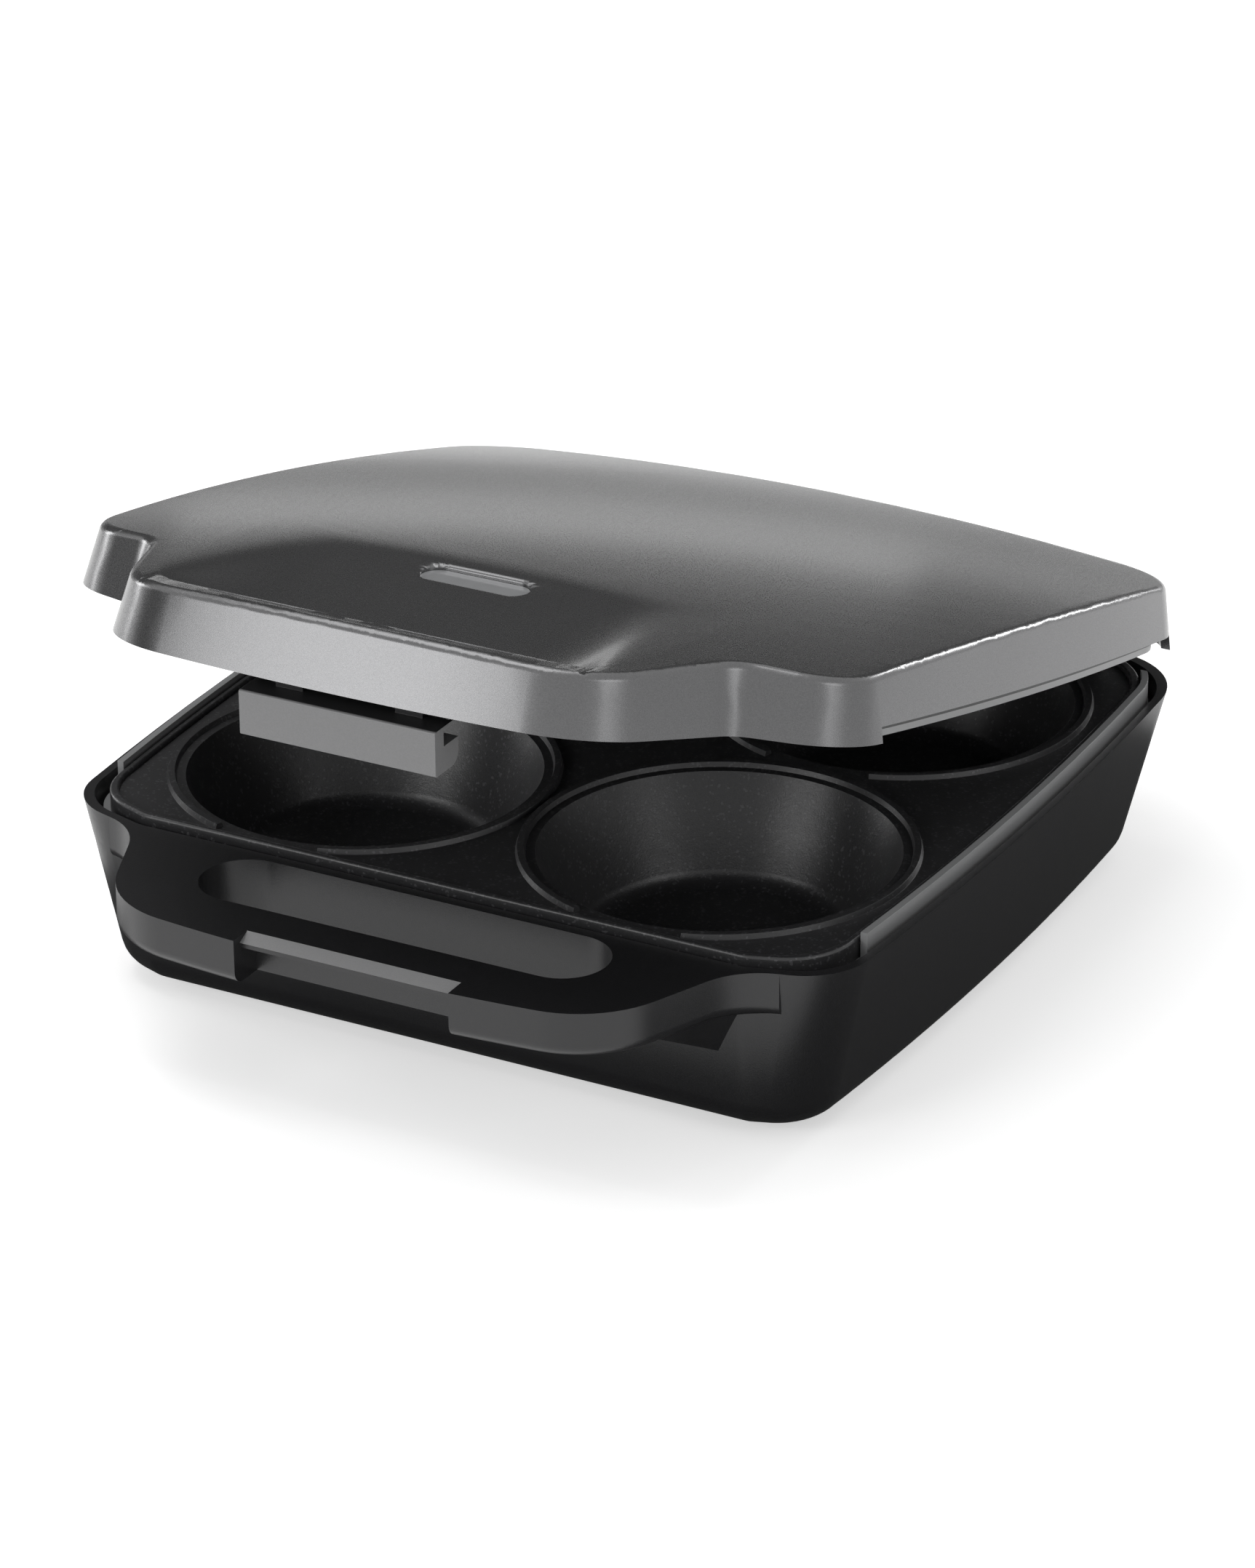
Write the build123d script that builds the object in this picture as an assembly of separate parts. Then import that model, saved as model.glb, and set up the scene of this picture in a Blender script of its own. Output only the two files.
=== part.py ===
from build123d import *
import math
import os

# Electric pie maker for four pies. Millimetres and degrees, +X right, +Y to the rear, +Z up.
# Everything is drawn with the lid shut, the table at z 0 and the four wells centred on x 0, y 0.
# At the end the lid and its latch are turned to the pose of the photo, and the whole is moved so
# that the origin lies under the middle of its outer box.

os.makedirs("parts", exist_ok=True)

# ---------------------------------------------------------------- driving sizes
# cooking plates
RING_R = 62.0             # outside of a well's crimp ring
RING_GAP = 0.8            # between neighbouring rings
WELL_PITCH = 2 * RING_R + RING_GAP
HALF = WELL_PITCH / 2 + RING_R  # from the middle to the outside of the rings
RING_W = 3.2
RING_H = 1.6
RING_DRAFT = 0.6
VENT_DEG = 34.0           # gap in each crimp ring, towards the front
MOUTH_IN = 2.8            # flat between a ring and the well's mouth
WELL_DRAFT = 13.0
WELL_DEPTH = 33.0
WELL_FILLET = 7.0
DOME_IN = 1.8             # the same round the shallow domes of the upper plate
DOME_DRAFT = 7.0
DOME_DEPTH = 8.0
DOME_FILLET = 5.0
PLATE_T = 2.0             # wall of both castings
WELL_MOUTH_R = RING_R - RING_W - MOUTH_IN
WELL_FLOOR_R = WELL_MOUTH_R - WELL_DRAFT
DOME_MOUTH_R = RING_R - RING_W - DOME_IN
DOME_FLOOR_R = DOME_MOUTH_R - DOME_DRAFT
RIM_W = 2.4               # raised rim round each plate
WALL = 2.6                # wall of the lower housing
LIP_IN = WALL + 2.2       # side lips set in from the housing's edge
LIP_T = 2.2
LIP_GAP = 0.5             # between a lip and the plate beside it
PLATE_SIDE = LIP_IN + LIP_T + LIP_GAP
PLATE_FRONT = 4.7
PLATE_REAR = 5.5
PLATE_GAP = 0.6           # between the two plates' crests when shut

# heating and shields
TUBE_R = 3.3              # tubular element
TUBE_BEND_R = 34.0
PRONG_R = 2.0
PRONG_X = 16.0
PRONG_L = 12.0
SHIELD_T = 1.0
SHIELD_HALF = HALF - 20.4
UP_SHIELD_HALF = SHIELD_HALF - 10.0
SHIELD_R = 24.0
SHIELD_LIP = SHIELD_T + 2 * TUBE_R
UP_SHIELD_LIP = 5.0
AIR_GAP = 12.1            # below the lower shield
SEAT = 0.05               # clearance between faces that seat on each other
FIT = 0.2                 # clearance of frames inside shells

# lower housing: margins are taken from the outside of the crimp rings
FOOT_H = 3.0
BOW = 1.5                 # bow of the rear edge
SIDE_MID = 14.9
SIDE_END = 9.6
SIDE_FRONT = 9.4
REAR_MARGIN = 5.6
FRONT_IN = 1.9            # front corner lies behind the rings' front
FRONT_OUT = 5.9           # root of the handle lies ahead of it
ROOT_IN = 20.4
BODY_R_FRONT = 22.0
BODY_R_REAR = 30.0
HULL_IN_SIDE = 12.0       # how much narrower the housing is at its underside
HULL_IN_FRONT = 5.0
HULL_IN_REAR = 10.0
HULL_EDGE_R = 11.0
DECK_DROP = 2.5           # deck below the plate's crest

# handle of the lower housing
HANDLE_IN = 39.9          # half width at the tip, inside the rings' outside
HANDLE_OUT = 53.1
HANDLE_TIP = 59.1
HANDLE_R = 34.0
ROOT_R = 24.0
BEND_R = 12.0             # slight bend of the front wall behind the handle's root
HANDLE_H = 15.0
HANDLE_EDGE_R = 4.5
HANDLE_WALL = 4.8
WEB_H = 26.0              # web that runs from the handle's root down into the front wall
WEB_L = 24.0
WEB_DRAFT = 22.0
SLOT_HALF = HALF - 55.4
SLOT_R = 14.5
SLOT_OUT = 21.6

# catch: a ledge in the front of the lower handle, and the latch's hook below it
NOTCH_HX = 36.5
LEDGE_D = 8.9             # ledge begins this far behind the tip
KEEPER_D = 4.5
POCKET_D = 13.5
KEEPER_DROP = 2.1
KEEPER_T = 1.4
LATCH_HX = 32.8
LATCH_T = 5.0
LATCH_REACH = 11.0        # latch front ahead of the keeper
HOOK_BITE = 2.2
HOOK_GAP = 1.7
HOOK_H = 8.1
HOOK_R = 4.0
LATCH_HEAD = 3.6          # top of the latch below the lid's edge
THROAT_OVER = 1.6
PIVOT_AHEAD = 1.3
PIVOT_DROP = 0.8
PIVOT_R = 1.2
BARREL_R = 2.5
KNUCKLE_X = 20.0
KNUCKLE_HALF = 4.6
RUN = 0.06                # running clearance on a pin's radius

# lid
LID_OVER = 2.0            # lid's edge above the plate's crest
LID_H = 30.2              # dome apex above the lid's edge
DOME_RX = 1231.0          # the dome is flatter from front to rear than across
DOME_RY = 2000.0
DOME_Y = 12.0
DOME_SPAN = 16.0          # degrees of turn of the dome, front to rear
LID_TAPER = 11.5
LID_EDGE_R = 3.0
LID_WALL = 2.8
LID_SIDE = -0.4           # how far the lid stands out past the housing at its sides
LID_CORNER = 4.0
LID_ROOT_OUT = 7.2
LID_ROOT_IN = 2.0
LID_TIP_IN = 3.5
LID_TIP_OUT = 10.0
LID_R_FRONT = 28.0
LID_R_REAR = 30.0
LID_HANDLE_R = 36.0
LID_ROOT_R = 12.0
LID_REAR = 1.0            # how far it stands out at the rear
SIDE_CUT = 4.7            # how far the lid's skirt is cut up along the sides
OPEN_DEG = 14.3           # how far the lid stands open in the photo

# finger recess and indicator window
GRIP_HX = HALF - 49.4
GRIP_REAR = 21.4          # rear crease ahead of the rings' front row centre line
GRIP_TIP = 10.0           # front crease behind the lid's tip
GRIP_BOW = 7.0
GRIP_R = 16.0
GRIP_STEP = 1.6
GRIP_SLOPE = 0.19
GRIP_FLAT = 45.0
GRIP_RAMP_R = 60.0
GRIP_WALL_SLOPE = 1.9
WIN_IN = 10.0
WIN_HALF = 18.2
WIN_R = 6.0
LENS_SUNK = 0.8
LENS_T = 2.4
LAMP_R = 2.6
LAMP_X = 9.0
TUB_D = 11.0
TUB_T = 1.4
TUB_MARGIN = 1.1

# side lips of the frames
LIP_FRONT = 25.4 - HALF
LID_LIP_FRONT = 17.4 - HALF
LIP_REAR = HALF - 12.4
LIP_OVER = 1.6            # lower lip above the plate's crest

# hinge
HINGE_X = HALF - 37.4
HINGE_BEHIND = 14.6
HINGE_UP = 0.1
KNUCKLE_W = 14.0
LUG_W = 6.0
LUG_R = 7.0
PIN_R = 2.5
SIDE_PLAY = 0.4

# frames, posts, screws and feet
FRAME_DROP = 11.0         # lower frame below the plate's crest
FRAME_T = 4.0
LID_FRAME_UP = 6.0
LID_FRAME_T = 3.0
FRAME_HOLE = 2 * HALF - 9.8
FRAME_HOLE_R = 52.0
POST_X = HALF - 14.4
POST_Y = HALF - 22.4
POST_R = 5.5
BOSS_R = 4.0
STUD_R = 6.0
SCREW_R = 1.9
HEAD_R = 3.7
HEAD_H = 3.0
SCREW_L = 14.0
SEAT_DEPTH = 8.0          # screw head's seat below the frame
FOOT_R = 8.0
FOOT_SUNK = 1.6
FOOT_X = HALF - 26.4
FOOT_Y = HALF - 32.4
PANEL_UP = 1.0            # underside panel of the lid's handle above the lid's edge
PANEL_T = 2.0
TIP_SCREW_X = HALF - 66.4
TIP_SCREW_D = 36.0
HOOK_X = 40.0             # rear hooks of the lid's cover

# electrical inlet
GLAND_X = HALF - 40.4
GLAND_R = 6.0
GLAND_BORE_R = 3.2
GLAND_Z = 24.0
GLAND_OUT = 3.5
BLOCK_X = GLAND_X - 18.0
BLOCK_IN = 34.0

# ---------------------------------------------------------------- worked-out levels and places
W2 = WELL_PITCH / 2
HULL_Z = FOOT_H
FLOOR_Z = HULL_Z + WALL
SHIELD_Z = FLOOR_Z + AIR_GAP
LOWER_TUBE_Z = SHIELD_Z + SHIELD_T + SEAT + TUBE_R
WELL_BOTTOM = LOWER_TUBE_Z + TUBE_R + SEAT
FIELD_Z = WELL_BOTTOM + PLATE_T + WELL_DEPTH
CREST_Z = FIELD_Z + RING_H
DECK_Z = CREST_Z - DECK_DROP
LIP_Z = CREST_Z + LIP_OVER
FRAME_Z = CREST_Z - FRAME_DROP
FRAME_TOP = FRAME_Z + FRAME_T
LID_Z = CREST_Z + LID_OVER
UP_CREST = CREST_Z + PLATE_GAP
UP_FIELD = UP_CREST + RING_H
UP_FRAME_Z = LID_Z + LID_FRAME_UP
UP_FRAME_TOP = UP_FRAME_Z + LID_FRAME_T
UP_DOME_TOP = UP_FIELD + DOME_DEPTH + PLATE_T
UPPER_TUBE_Z = UP_DOME_TOP + SEAT + TUBE_R
UP_SHIELD_Z = UPPER_TUBE_Z + TUBE_R + SEAT
APEX_Z = LID_Z + LID_H
PANEL_Z = LID_Z + PANEL_UP

TIP_Y = -(HALF + HANDLE_TIP)
SLOT_Y = -(HALF + SLOT_OUT)
KEEPER_Y = TIP_Y + KEEPER_D
KEEPER_TOP = DECK_Z - KEEPER_DROP
KEEPER_LOW = KEEPER_TOP - KEEPER_T
LATCH_Y = KEEPER_Y - LATCH_REACH
HOOK_TIP_Y = KEEPER_Y + HOOK_BITE
HOOK_TOP = KEEPER_LOW - HOOK_GAP
LATCH_LOW = HOOK_TOP - HOOK_H
LATCH_TOP = LID_Z - LATCH_HEAD
PIVOT_Y = KEEPER_Y - PIVOT_AHEAD
PIVOT_Z = LID_Z - PIVOT_DROP
BODY_HX = HALF + SIDE_MID
BODY_REAR = HALF + REAR_MARGIN
HINGE_Y = BODY_REAR + HINGE_BEHIND
HINGE_Z = LID_Z + HINGE_UP
GRIP_REAR_Y = -(HALF - GRIP_REAR)

BASE = dict(hx_end=HALF + SIDE_END, hx_mid=BODY_HX, y_rear=BODY_REAR,
            c1=(HALF + SIDE_FRONT, -(HALF - FRONT_IN)), c2=(HALF - ROOT_IN, -(HALF + FRONT_OUT)),
            c3=(HALF - HANDLE_IN, -(HALF + HANDLE_OUT)), tip_y=TIP_Y,
            r_front=BODY_R_FRONT, r_root=ROOT_R, r_tip=HANDLE_R, r_rear=BODY_R_REAR)
LID = dict(hx_end=BASE["hx_end"] + LID_SIDE / 2, hx_mid=BODY_HX + LID_SIDE, y_rear=BODY_REAR + LID_REAR,
           c1=(BASE["c1"][0] + LID_SIDE / 2, BASE["c1"][1] - LID_CORNER),
           c2=(BASE["c2"][0] - LID_ROOT_IN, BASE["c2"][1] - LID_ROOT_OUT),
           c3=(BASE["c3"][0] - LID_TIP_IN, BASE["c3"][1] - LID_TIP_OUT),
           tip_y=TIP_Y - LID_TIP_OUT - 0.5,
           r_front=LID_R_FRONT, r_root=LID_ROOT_R, r_tip=LID_HANDLE_R, r_rear=LID_R_REAR)

WELLS = [(-W2, -W2), (W2, -W2), (-W2, W2), (W2, W2)]
CORNERS = [(-POST_X, -POST_Y), (POST_X, -POST_Y), (-POST_X, POST_Y), (POST_X, POST_Y)]
FEET = [(-FOOT_X, -FOOT_Y), (FOOT_X, -FOOT_Y), (-FOOT_X, FOOT_Y), (FOOT_X, FOOT_Y)]
TIP_SCREWS = [(-TIP_SCREW_X, LID["tip_y"] + TIP_SCREW_D), (TIP_SCREW_X, LID["tip_y"] + TIP_SCREW_D)]


# ---------------------------------------------------------------- shared shapes
def housing_plan(sizes, handle=True, inset=(0.0, 0.0, 0.0)):
    """Outline with bowed sides, rounded corners and, if asked, the forward handle.
    inset is (side, front, rear)."""
    side, front, rear = inset
    hx_end, hx_mid, y_rear = sizes["hx_end"] - side, sizes["hx_mid"] - side, sizes["y_rear"] - rear
    c1 = (sizes["c1"][0] - side, sizes["c1"][1] + front)
    c2 = (sizes["c2"][0], sizes["c2"][1] + front)
    c3 = sizes["c3"]
    ym = (c1[1] + y_rear) / 2
    edges = [ThreePointArc(c1, (hx_mid, ym), (hx_end, y_rear)),
             ThreePointArc((hx_end, y_rear), (0, y_rear + BOW), (-hx_end, y_rear)),
             ThreePointArc((-hx_end, y_rear), (-hx_mid, ym), (-c1[0], c1[1])),
             Line((-c1[0], c1[1]), (-c2[0], c2[1])),
             Line(c2, c1)]
    corners = [(c1, sizes["r_front"]), (c2, sizes["r_root"] if handle else BEND_R),
               ((hx_end, y_rear), sizes["r_rear"])]
    if handle:
        edges += [Line((-c2[0], c2[1]), (-c3[0], c3[1])),
                  ThreePointArc((-c3[0], c3[1]), (0, sizes["tip_y"]), c3),
                  Line(c3, c2)]
        corners.append((c3, sizes["r_tip"]))
    else:
        edges += [Line((-c2[0], c2[1]), c2)]
    face = make_face(Curve() + edges)
    for (px, py), r in corners:
        face = fillet([v for v in face.vertices() if math.hypot(abs(v.X) - px, v.Y - py) < 0.01], r)
    return face


def crossing(p, along, q, across):
    """Where the line through p meets the line through q."""
    det = along[0] * across[1] - along[1] * across[0]
    t = ((q[0] - p[0]) * across[1] - (q[1] - p[1]) * across[0]) / det
    return (p[0] + t * along[0], p[1] + t * along[1])


def thinner(sizes, d):
    """Sizes of the same outline with its handle, drawn a distance d inside it."""
    c1, c2, c3, tip_y = sizes["c1"], sizes["c2"], sizes["c3"], sizes["tip_y"]
    flank = (c2[0] - c3[0], c2[1] - c3[1])
    front = (c1[0] - c2[0], c1[1] - c2[1])
    flank_l, front_l = math.hypot(*flank), math.hypot(*front)
    on_flank = (c2[0] - d * flank[1] / flank_l, c2[1] + d * flank[0] / flank_l)
    on_front = (c2[0] - d * front[1] / front_l, c2[1] + d * front[0] / front_l)
    sag = c3[1] - tip_y
    tip_r = (c3[0] ** 2 + sag ** 2) / (2 * sag)
    centre_y = tip_y + tip_r
    # inner end of the flank: the point of the shifted flank that lies on the shifted tip arc
    ux, uy = flank[0] / flank_l, flank[1] / flank_l
    rx, ry = on_flank[0], on_flank[1] - centre_y
    b = rx * ux + ry * uy
    t = -b - math.sqrt(b * b - (rx * rx + ry * ry - (tip_r - d) ** 2))
    return dict(hx_end=sizes["hx_end"] - d, hx_mid=sizes["hx_mid"] - d, y_rear=sizes["y_rear"] - d,
                c1=crossing(on_front, front, (c1[0] - d, 0), (0, 1)), c2=crossing(on_flank, flank, on_front, front),
                c3=(on_flank[0] + t * ux, on_flank[1] + t * uy), tip_y=tip_y + d,
                r_front=sizes["r_front"] - d, r_root=sizes["r_root"] + d, r_tip=sizes["r_tip"] - d,
                r_rear=sizes["r_rear"] - d)


def slab(face, z0, z1):
    """Upright prism of a flat outline between two levels."""
    return extrude(Pos(0, 0, z0) * face, z1 - z0)


def box(x0, x1, y0, y1, z0, z1):
    return Pos((x0 + x1) / 2, (y0 + y1) / 2, (z0 + z1) / 2) * Box(x1 - x0, y1 - y0, z1 - z0)


def rod(x, y, z0, z1, r):
    return Pos(x, y, (z0 + z1) / 2) * Cylinder(r, z1 - z0)


def cross_rod(x0, x1, y, z, r):
    return Pos((x0 + x1) / 2, y, z) * Rot(0, 90, 0) * Cylinder(r, x1 - x0)


def side_profile(points, x0, x1):
    """Outline in the YZ plane, extruded from x0 to x1."""
    face = make_face(Polyline(*[(0, py, pz) for py, pz in points], close=True))
    return Pos(x0, 0, 0) * extrude(face, x1 - x0, dir=(1, 0, 0))


def above(point, normal):
    """All space on the side of a plane that its normal points to, as a large block."""
    return Plane(origin=point, z_dir=normal) * Pos(0, 0, 400) * Box(1200, 1200, 800)


def stadium(half, r):
    return SlotCenterToCenter(2 * (half - r), 2 * r)


def square_plan(half, r):
    return RectangleRounded(2 * half, 2 * half, r)


def screw(x, y, z_seat, length, up=True):
    """Pan-head screw with a cross recess; its head's flat side is at z_seat."""
    way = 1 if up else -1
    body = rod(x, y, min(z_seat, z_seat - way * HEAD_H), max(z_seat, z_seat - way * HEAD_H), HEAD_R)
    body += rod(x, y, min(z_seat, z_seat + way * length), max(z_seat, z_seat + way * length), SCREW_R)
    cross = Box(HEAD_R, HEAD_R / 4, HEAD_H * 1.4) + Box(HEAD_R / 4, HEAD_R, HEAD_H * 1.4)
    return body - Pos(x, y, z_seat - way * HEAD_H) * cross


# ---------------------------------------------------------------- cooking plates
def plate_plan(inward=0.0):
    return housing_plan(BASE, handle=False,
                        inset=(PLATE_SIDE + inward, PLATE_FRONT + inward, PLATE_REAR + inward))


def cup(mouth_r, floor_r, depth, corner_r):
    """Turned pan with its mouth at z 0, open upwards."""
    points = [(0, -depth), (floor_r, -depth), (mouth_r, 0), (mouth_r + PLATE_T, 0),
              (floor_r + PLATE_T, -depth - PLATE_T), (0, -depth - PLATE_T)]
    face = make_face(Polyline(*[(px, 0, pz) for px, pz in points], close=True))
    face = fillet([v for v in face.vertices() if abs(v.X - floor_r) < 0.01], corner_r)
    outer = [v for v in face.vertices() if abs(v.X - floor_r - PLATE_T) < 0.01 and v.Z < -depth - PLATE_T / 2]
    return revolve(fillet(outer, corner_r + PLATE_T), Axis.Z, 360)


def crimp_ring():
    """Raised ring that seals the pastry's edge, with a vent gap towards the front."""
    inner = RING_R - RING_W
    profile = make_face(Polyline((inner, 0, 0), (RING_R, 0, 0), (RING_R - RING_DRAFT, 0, RING_H),
                                 (inner + RING_DRAFT, 0, RING_H), close=True))
    return Rot(0, 0, VENT_DEG / 2 - 90) * revolve(profile, Axis.Z, 360 - VENT_DEG)


def casting(field_low, rim_low, rim_high, crest, pan, pan_r, ring):
    """Field, raised rim, four pans and four crimp rings in one casting."""
    rim = slab(plate_plan() - plate_plan(RIM_W), rim_low, rim_high)
    rim = fillet([e for e in rim.edges() if abs(e.bounding_box().center().Z - crest) < 0.01
                  and e.bounding_box().size.Z < 0.01], RIM_W / 2 - FIT)
    plate = slab(plate_plan(), field_low, field_low + PLATE_T) + rim
    for x, y in WELLS:
        plate -= rod(x, y, field_low - 1, field_low + PLATE_T + 1, pan_r + PLATE_T / 2)
    for x, y in WELLS:
        plate += Pos(x, y, 0) * pan
        plate += Pos(x, y, 0) * ring
    return plate


def lower_plate():
    pan = Pos(0, 0, FIELD_Z) * cup(WELL_MOUTH_R, WELL_FLOOR_R, WELL_DEPTH, WELL_FILLET)
    plate = casting(FIELD_Z - PLATE_T, FRAME_TOP, CREST_Z, CREST_Z, pan, WELL_MOUTH_R,
                    Pos(0, 0, FIELD_Z) * crimp_ring())
    plate += rod(0, 0, SHIELD_Z + SHIELD_T, FIELD_Z - PLATE_T / 2, STUD_R)
    plate -= rod(0, 0, SHIELD_Z, SHIELD_Z + SHIELD_T + SCREW_L + 1, SCREW_R + SEAT)
    for x, y in CORNERS:
        plate += rod(x, y, FRAME_TOP, FIELD_Z - PLATE_T / 2, BOSS_R)
        plate -= rod(x, y, FRAME_TOP - 1, FIELD_Z - PLATE_T / 2, SCREW_R + SEAT)
    return plate


def upper_plate():
    pan = mirror(cup(DOME_MOUTH_R, DOME_FLOOR_R, DOME_DEPTH, DOME_FILLET), Plane.XY)
    plate = casting(UP_FIELD, UP_CREST, UP_FRAME_Z, UP_CREST, Pos(0, 0, UP_FIELD) * pan, DOME_MOUTH_R,
                    Pos(0, 0, UP_FIELD) * mirror(crimp_ring(), Plane.XY))
    plate += rod(0, 0, UP_FIELD + PLATE_T / 2, UP_SHIELD_Z, STUD_R)
    plate -= rod(0, 0, UP_SHIELD_Z - SCREW_L, UP_SHIELD_Z + 1, SCREW_R + SEAT)
    for x, y in CORNERS:
        plate += rod(x, y, UP_FIELD + PLATE_T / 2, UP_FRAME_Z, BOSS_R)
        plate -= rod(x, y, UP_FIELD + PLATE_T / 2, UP_FRAME_Z + 1, SCREW_R + SEAT)
    return plate


# ---------------------------------------------------------------- heating parts
def heater(z, way):
    """Tubular element bent to a rounded square that runs over all four pans, with two end prongs."""
    path = Pos(0, 0, z) * RectangleRounded(WELL_PITCH, WELL_PITCH, TUBE_BEND_R).wire()
    element = sweep(Plane(path @ 0, z_dir=path % 0) * Circle(TUBE_R), path)
    for x in (-PRONG_X, PRONG_X):
        element += rod(x, W2, min(z, z + way * PRONG_L), max(z, z + way * PRONG_L), PRONG_R)
    return element


def shield(z, half, lip, way):
    """Pressed tray that keeps the heat off the plastic."""
    tray = slab(square_plan(half, SHIELD_R), z, z + SHIELD_T)
    z_low, z_high = (z, z + lip) if way > 0 else (z + SHIELD_T - lip, z + SHIELD_T)
    tray += slab(square_plan(half, SHIELD_R) - square_plan(half - SHIELD_T, SHIELD_R - SHIELD_T), z_low, z_high)
    tray -= rod(0, 0, z - 1, z + SHIELD_T + 1, SCREW_R + FIT)
    for x in (-PRONG_X, PRONG_X):
        tray -= rod(x, W2, z - 1, z + SHIELD_T + 1, PRONG_R + 1)
    return tray


THERMOSTAT_R = 9.0
THERMOSTAT_H = 9.0
THERMOSTAT_Y = 34.0


def thermostat():
    """Snap-disc thermostat that sits against the underside of the lower plate."""
    top = FIELD_Z - PLATE_T
    body = rod(0, THERMOSTAT_Y, top - THERMOSTAT_H, top, THERMOSTAT_R)
    for x in (-THERMOSTAT_R / 2, THERMOSTAT_R / 2):
        body += box(x - 0.4, x + 0.4, THERMOSTAT_Y - 3, THERMOSTAT_Y + 3, top - THERMOSTAT_H - 8, top - THERMOSTAT_H)
    return body


FUSE_R = 2.2
FUSE_L = 16.0


def thermal_fuse():
    """Axial fuse with its two leads, lying on the lower shield."""
    z = SHIELD_Z + SHIELD_T + FUSE_R
    return (cross_rod(-FUSE_L / 2, FUSE_L / 2, -THERMOSTAT_Y, z, FUSE_R)
            + cross_rod(-FUSE_L, FUSE_L, -THERMOSTAT_Y, z, FUSE_R / 4))


# ---------------------------------------------------------------- lower housing
def hull(inward, z_low, edge_r):
    """Body of the housing: bowed outline at the deck, narrower below, with a rounded lower edge."""
    top = Pos(0, 0, DECK_Z) * housing_plan(BASE, handle=False, inset=(inward, inward, inward))
    low = Pos(0, 0, z_low) * housing_plan(BASE, handle=False, inset=(
        HULL_IN_SIDE + inward, HULL_IN_FRONT + inward, HULL_IN_REAR + inward))
    body = loft([low.face(), top.face()], ruled=True)
    return fillet([e for e in body.edges() if e.bounding_box().max.Z < z_low + 0.01], edge_r)


def handle_block():
    """Forward handle: outline of the whole housing, cut off just behind its front wall."""
    z_low = DECK_Z - HANDLE_H
    root_y = BASE["c2"][1]
    reach = BASE["c2"][0] + ROOT_R / 2
    block = slab(housing_plan(BASE), z_low, DECK_Z) & box(-reach, reach, TIP_Y - 5, root_y + 14, z_low, DECK_Z)
    lower_rim = [e for e in block.edges() if e.bounding_box().max.Z < z_low + 0.01
                 and e.bounding_box().max.Y < root_y + 4]
    return fillet(lower_rim, HANDLE_EDGE_R)


def handle_web():
    """Below the handle's roots: the flanks run down and in to the front wall, on a sloping underside."""
    z_high = DECK_Z - HANDLE_EDGE_R
    root_y = BASE["c2"][1]
    reach = BASE["c2"][0] + ROOT_R / 2
    web = extrude(Pos(0, 0, z_high) * housing_plan(BASE), -WEB_H, taper=WEB_DRAFT)
    web &= box(-reach, reach, root_y - WEB_L, root_y + 14, z_high - WEB_H, z_high)
    z_root = DECK_Z - HANDLE_H
    return web & above((0, root_y - WEB_L, z_root), (0, z_root - z_high + WEB_H, WEB_L + 4.0))


def handle_pocket():
    """Hollow underside of the handle, left and right of the catch."""
    core = slab(housing_plan(thinner(BASE, HANDLE_WALL)), DECK_Z - HANDLE_H - 1, DECK_Z - WALL)
    core &= box(-BODY_HX, BODY_HX, TIP_Y, BASE["c2"][1] - 1, 0, DECK_Z)
    core -= Pos(0, SLOT_Y, 0) * slab(stadium(SLOT_HALF + WALL, SLOT_R + WALL), 0, DECK_Z)
    return core - box(-NOTCH_HX - WALL, NOTCH_HX + WALL, TIP_Y - 1, SLOT_Y, 0, DECK_Z)


def catch_cut():
    """Notch in the handle's front: a sloped ledge with an undercut for the hook."""
    low = DECK_Z - HANDLE_H - 4
    ahead = TIP_Y - 8
    return side_profile([(TIP_Y + LEDGE_D, DECK_Z + 3), (TIP_Y + LEDGE_D, DECK_Z), (KEEPER_Y, KEEPER_TOP),
                         (KEEPER_Y, KEEPER_LOW), (TIP_Y + POCKET_D, KEEPER_LOW), (TIP_Y + POCKET_D, low),
                         (ahead, low), (ahead, DECK_Z + 3)], -NOTCH_HX, NOTCH_HX)


def hinge_lug(x0, x1):
    """One ear of the lower hinge, on an arm that rises from the rear wall."""
    root = BODY_REAR - 6
    arm = side_profile([(root, HINGE_Z - 26), (HINGE_Y + 2, HINGE_Z - LUG_R + 0.3), (HINGE_Y, HINGE_Z + 2),
                        (root, DECK_Z)], x0, x1)
    return arm + cross_rod(x0, x1, HINGE_Y, HINGE_Z, LUG_R)


def gland_wall_y():
    """Where the rear wall stands at the height of the cord inlet."""
    rise = (GLAND_Z - HULL_Z) / (DECK_Z - HULL_Z)
    return BODY_REAR - HULL_IN_REAR * (1 - rise)


def along_y(x, z, y0, y1, r):
    return Pos(x, (y0 + y1) / 2, z) * Rot(90, 0, 0) * Cylinder(r, y1 - y0)


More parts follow.
